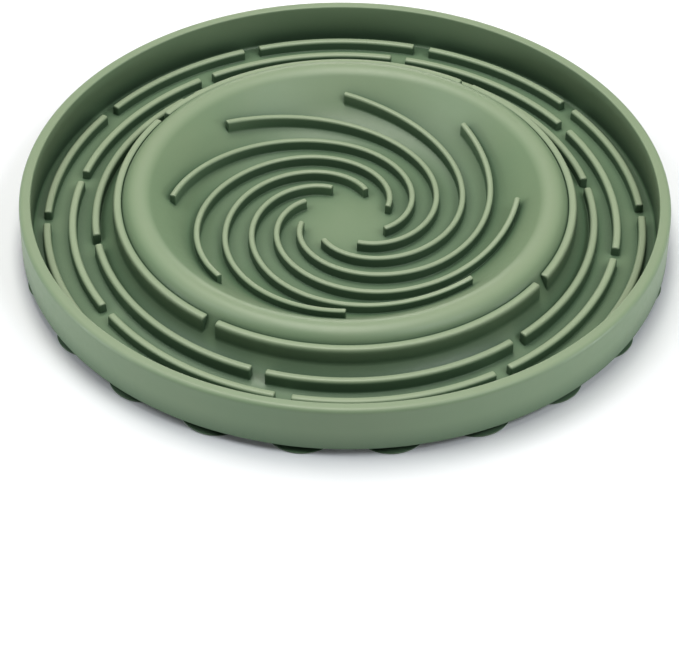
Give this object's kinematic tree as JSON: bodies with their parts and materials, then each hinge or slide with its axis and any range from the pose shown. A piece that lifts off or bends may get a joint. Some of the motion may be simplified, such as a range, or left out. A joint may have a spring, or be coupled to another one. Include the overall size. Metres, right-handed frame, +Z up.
{
  "type": "slow feeder bowl",
  "caption": "Round silicone slow feeder bowl with broken ring ribs, a ring-shaped dome, spiral vanes in its dish and suction cups below.",
  "frame": {"origin": "middle of the bowl on the table, at the lips of the suction cups", "axes": "+Z up out of the bowl, -Y towards the viewer of the picture, +X to the viewer's right"},
  "size_m": [0.22, 0.22, 0.0194],
  "materials": {
    "silicone": "matte"
  },
  "bodies": {
    "tray": {"rim_wall_1": "silicone", "rim_wall_2": "silicone", "rim_wall_3": "silicone", "rim_wall_4": "silicone", "channel_floor": "silicone", "dome_slope": "silicone", "dish_slope": "silicone", "dish_floor": "silicone", "swirl_vane_1": "silicone", "swirl_vane_2": "silicone", "swirl_vane_3": "silicone", "swirl_vane_4": "silicone", "swirl_vane_5": "silicone", "swirl_vane_6": "silicone", "swirl_vane_7": "silicone", "swirl_vane_8": "silicone", "dome_rib_1": "silicone", "dome_rib_2": "silicone", "dome_rib_3": "silicone", "dome_rib_4": "silicone", "inner_rib_1": "silicone", "inner_rib_2": "silicone", "inner_rib_3": "silicone", "inner_rib_4": "silicone", "inner_rib_5": "silicone", "inner_rib_6": "silicone", "middle_rib_1": "silicone", "middle_rib_2": "silicone", "middle_rib_3": "silicone", "middle_rib_4": "silicone", "middle_rib_5": "silicone", "middle_rib_6": "silicone", "middle_rib_7": "silicone", "middle_rib_8": "silicone", "outer_ribs": "silicone"},
    "cup_1": {"suction_cup_1": "silicone"},
    "cup_2": {"suction_cup_2": "silicone"},
    "cup_3": {"suction_cup_3": "silicone"},
    "cup_4": {"suction_cup_4": "silicone"},
    "cup_5": {"suction_cup_5": "silicone"},
    "cup_6": {"suction_cup_6": "silicone"},
    "cup_7": {"suction_cup_7": "silicone"},
    "cup_8": {"suction_cup_8": "silicone"},
    "cup_9": {"suction_cup_9": "silicone"},
    "cup_10": {"suction_cup_10": "silicone"},
    "cup_11": {"suction_cup_11": "silicone"},
    "cup_12": {"suction_cup_12": "silicone"},
    "cup_13": {"suction_cup_13": "silicone"},
    "cup_14": {"suction_cup_14": "silicone"},
    "cup_15": {"suction_cup_15": "silicone"},
    "cup_16": {"suction_cup_16": "silicone"},
    "cup_17": {"suction_cup_17": "silicone"},
    "cup_18": {"suction_cup_18": "silicone"},
    "cup_19": {"suction_cup_19": "silicone"},
    "cup_20": {"suction_cup_20": "silicone"},
    "cup_21": {"suction_cup_21": "silicone"},
    "cup_22": {"suction_cup_22": "silicone"}
  },
  "joints": [
    {"name": "cup_1_squash", "type": "slide", "parent": "tray", "child": "cup_1", "axis": [0, 0, 1], "range_m": [0, 0.0013], "stiffness_N_per_m": 800, "deforming": ["suction_cup_1"]},
    {"name": "cup_2_squash", "type": "slide", "parent": "tray", "child": "cup_2", "axis": [0, 0, 1], "range_m": [0, 0.0013], "stiffness_N_per_m": 800, "deforming": ["suction_cup_2"]},
    {"name": "cup_3_squash", "type": "slide", "parent": "tray", "child": "cup_3", "axis": [0, 0, 1], "range_m": [0, 0.0013], "stiffness_N_per_m": 800, "deforming": ["suction_cup_3"]},
    {"name": "cup_4_squash", "type": "slide", "parent": "tray", "child": "cup_4", "axis": [0, 0, 1], "range_m": [0, 0.0013], "stiffness_N_per_m": 800, "deforming": ["suction_cup_4"]},
    {"name": "cup_5_squash", "type": "slide", "parent": "tray", "child": "cup_5", "axis": [0, 0, 1], "range_m": [0, 0.0013], "stiffness_N_per_m": 800, "deforming": ["suction_cup_5"]},
    {"name": "cup_6_squash", "type": "slide", "parent": "tray", "child": "cup_6", "axis": [0, 0, 1], "range_m": [0, 0.0013], "stiffness_N_per_m": 800, "deforming": ["suction_cup_6"]},
    {"name": "cup_7_squash", "type": "slide", "parent": "tray", "child": "cup_7", "axis": [0, 0, 1], "range_m": [0, 0.0013], "stiffness_N_per_m": 800, "deforming": ["suction_cup_7"]},
    {"name": "cup_8_squash", "type": "slide", "parent": "tray", "child": "cup_8", "axis": [0, 0, 1], "range_m": [0, 0.0013], "stiffness_N_per_m": 800, "deforming": ["suction_cup_8"]},
    {"name": "cup_9_squash", "type": "slide", "parent": "tray", "child": "cup_9", "axis": [0, 0, 1], "range_m": [0, 0.0013], "stiffness_N_per_m": 800, "deforming": ["suction_cup_9"]},
    {"name": "cup_10_squash", "type": "slide", "parent": "tray", "child": "cup_10", "axis": [0, 0, 1], "range_m": [0, 0.0013], "stiffness_N_per_m": 800, "deforming": ["suction_cup_10"]},
    {"name": "cup_11_squash", "type": "slide", "parent": "tray", "child": "cup_11", "axis": [0, 0, 1], "range_m": [0, 0.0013], "stiffness_N_per_m": 800, "deforming": ["suction_cup_11"]},
    {"name": "cup_12_squash", "type": "slide", "parent": "tray", "child": "cup_12", "axis": [0, 0, 1], "range_m": [0, 0.0013], "stiffness_N_per_m": 800, "deforming": ["suction_cup_12"]},
    {"name": "cup_13_squash", "type": "slide", "parent": "tray", "child": "cup_13", "axis": [0, 0, 1], "range_m": [0, 0.0013], "stiffness_N_per_m": 800, "deforming": ["suction_cup_13"]},
    {"name": "cup_14_squash", "type": "slide", "parent": "tray", "child": "cup_14", "axis": [0, 0, 1], "range_m": [0, 0.0013], "stiffness_N_per_m": 800, "deforming": ["suction_cup_14"]},
    {"name": "cup_15_squash", "type": "slide", "parent": "tray", "child": "cup_15", "axis": [0, 0, 1], "range_m": [0, 0.0013], "stiffness_N_per_m": 800, "deforming": ["suction_cup_15"]},
    {"name": "cup_16_squash", "type": "slide", "parent": "tray", "child": "cup_16", "axis": [0, 0, 1], "range_m": [0, 0.0013], "stiffness_N_per_m": 800, "deforming": ["suction_cup_16"]},
    {"name": "cup_17_squash", "type": "slide", "parent": "tray", "child": "cup_17", "axis": [0, 0, 1], "range_m": [0, 0.0013], "stiffness_N_per_m": 800, "deforming": ["suction_cup_17"]},
    {"name": "cup_18_squash", "type": "slide", "parent": "tray", "child": "cup_18", "axis": [0, 0, 1], "range_m": [0, 0.0013], "stiffness_N_per_m": 800, "deforming": ["suction_cup_18"]},
    {"name": "cup_19_squash", "type": "slide", "parent": "tray", "child": "cup_19", "axis": [0, 0, 1], "range_m": [0, 0.0013], "stiffness_N_per_m": 800, "deforming": ["suction_cup_19"]},
    {"name": "cup_20_squash", "type": "slide", "parent": "tray", "child": "cup_20", "axis": [0, 0, 1], "range_m": [0, 0.0013], "stiffness_N_per_m": 800, "deforming": ["suction_cup_20"]},
    {"name": "cup_21_squash", "type": "slide", "parent": "tray", "child": "cup_21", "axis": [0, 0, 1], "range_m": [0, 0.0013], "stiffness_N_per_m": 800, "deforming": ["suction_cup_21"]},
    {"name": "cup_22_squash", "type": "slide", "parent": "tray", "child": "cup_22", "axis": [0, 0, 1], "range_m": [0, 0.0013], "stiffness_N_per_m": 800, "deforming": ["suction_cup_22"]}
  ]
}
